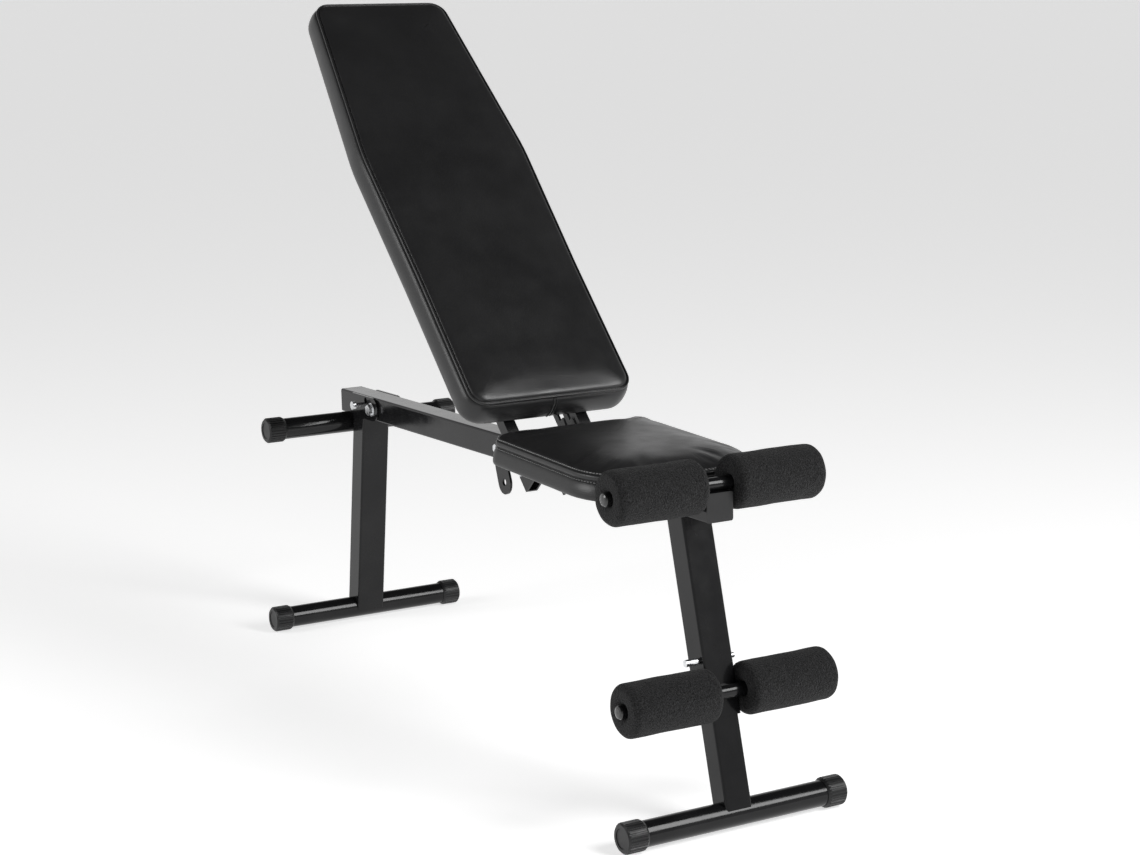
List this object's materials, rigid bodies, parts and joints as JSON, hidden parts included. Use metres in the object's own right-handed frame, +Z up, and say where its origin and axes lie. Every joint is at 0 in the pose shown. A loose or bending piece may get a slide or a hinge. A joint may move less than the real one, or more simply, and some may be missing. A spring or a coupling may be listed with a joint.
{
  "type": "adjustable weight bench",
  "caption": "Folding incline weight bench with level seat, tapered tilting backrest, foam leg rollers and a telescoping front leg.",
  "frame": {"origin": "centre of the bench's bounding box in plan, on the floor", "axes": "+X across the bench, to the user's left when seated; +Y from the leg rollers to the backrest; +Z up from the floor"},
  "size_m": [0.374, 1.2656, 1.1282],
  "materials": {
    "frame_paint": "satin powder coat",
    "plastic_caps": "moulded, satin",
    "gloss_plugs": "glossy",
    "roller_foam": "fine open-cell foam skin",
    "zinc": "bright zinc plated",
    "plywood": "black-stained plywood",
    "vinyl": "grained artificial leather, satin"
  },
  "bodies": {
    "frame": {"main_beam": "frame_paint", "beam_end_plugs": "plastic_caps", "rear_cross_tube": "frame_paint", "cross_tube_caps": "plastic_caps", "hook_plates": "frame_paint", "hook_bolt": "zinc", "hook_nut": "zinc", "front_leg_sleeve": "frame_paint", "upper_roller_tube": "frame_paint", "lower_roller_tube": "frame_paint", "roller_tube_plugs": "gloss_plugs", "leg_pivot_bolt": "zinc", "leg_pivot_nut": "zinc", "leg_pivot_washers": "zinc", "seat_brackets": "frame_paint", "seat_screws": "zinc", "seat_board": "plywood", "seat_pad": "vinyl", "back_pivot_bolt": "zinc", "back_pivot_nut": "zinc", "back_pivot_washers": "zinc"},
    "front_leg": {"front_leg_tube": "frame_paint", "front_foot_tube": "frame_paint", "front_foot_caps": "plastic_caps"},
    "front_pin": {"front_lock_pin": "zinc"},
    "rear_leg": {"rear_leg_post": "frame_paint", "rear_leg_ears": "frame_paint", "rear_foot_tube": "frame_paint", "rear_foot_caps": "plastic_caps"},
    "rear_pin": {"rear_lock_pin": "zinc"},
    "backrest": {"pivot_spacers": "frame_paint", "hinge_lugs": "frame_paint", "backrest_rails": "frame_paint", "rail_end_plugs": "plastic_caps", "adjuster_crossbar": "frame_paint", "quadrant_plates": "frame_paint", "pad_crossbars": "frame_paint", "backrest_screws": "zinc", "backrest_board": "plywood", "backrest_pad": "vinyl"},
    "back_pin": {"adjuster_pin": "zinc"},
    "roller_upper_left": {"upper_left_roller": "roller_foam"},
    "roller_upper_right": {"upper_right_roller": "roller_foam"},
    "roller_lower_left": {"lower_left_roller": "roller_foam"},
    "roller_lower_right": {"lower_right_roller": "roller_foam"}
  },
  "joints": [
    {"name": "front_leg_slide", "type": "slide", "parent": "frame", "child": "front_leg", "axis": [0, -0.289, -0.9573], "range_m": [0, 0.08]},
    {"name": "front_pin_pull", "type": "slide", "parent": "frame", "child": "front_pin", "axis": [-1, 0, 0], "range_m": [0, 0.07]},
    {"name": "rear_leg_fold", "type": "hinge", "parent": "frame", "child": "rear_leg", "pos_m": [0, 0.49549, 0.41262], "axis": [1, 0, 0], "range_deg": [-98, 0]},
    {"name": "rear_pin_pull", "type": "slide", "parent": "rear_leg", "child": "rear_pin", "axis": [-1, 0, 0], "range_m": [0, 0.065]},
    {"name": "backrest_tilt", "type": "hinge", "parent": "frame", "child": "backrest", "pos_m": [0, -0.14802, 0.43805], "axis": [1, 0, 0], "range_deg": [-27, 33]},
    {"name": "back_pin_pull", "type": "slide", "parent": "frame", "child": "back_pin", "axis": [-1, 0, 0], "range_m": [0, 0.074]},
    {"name": "upper_left_spin", "type": "hinge", "parent": "frame", "child": "roller_upper_left", "pos_m": [0, -0.54618, 0.48848], "axis": [1, 0, 0], "continuous": true},
    {"name": "upper_right_spin", "type": "hinge", "parent": "frame", "child": "roller_upper_right", "pos_m": [0, -0.54618, 0.48848], "axis": [1, 0, 0], "continuous": true},
    {"name": "lower_left_spin", "type": "hinge", "parent": "frame", "child": "roller_lower_left", "pos_m": [0, -0.58746, 0.19678], "axis": [1, 0, 0], "continuous": true},
    {"name": "lower_right_spin", "type": "hinge", "parent": "frame", "child": "roller_lower_right", "pos_m": [0, -0.58746, 0.19678], "axis": [1, 0, 0], "continuous": true}
  ]
}
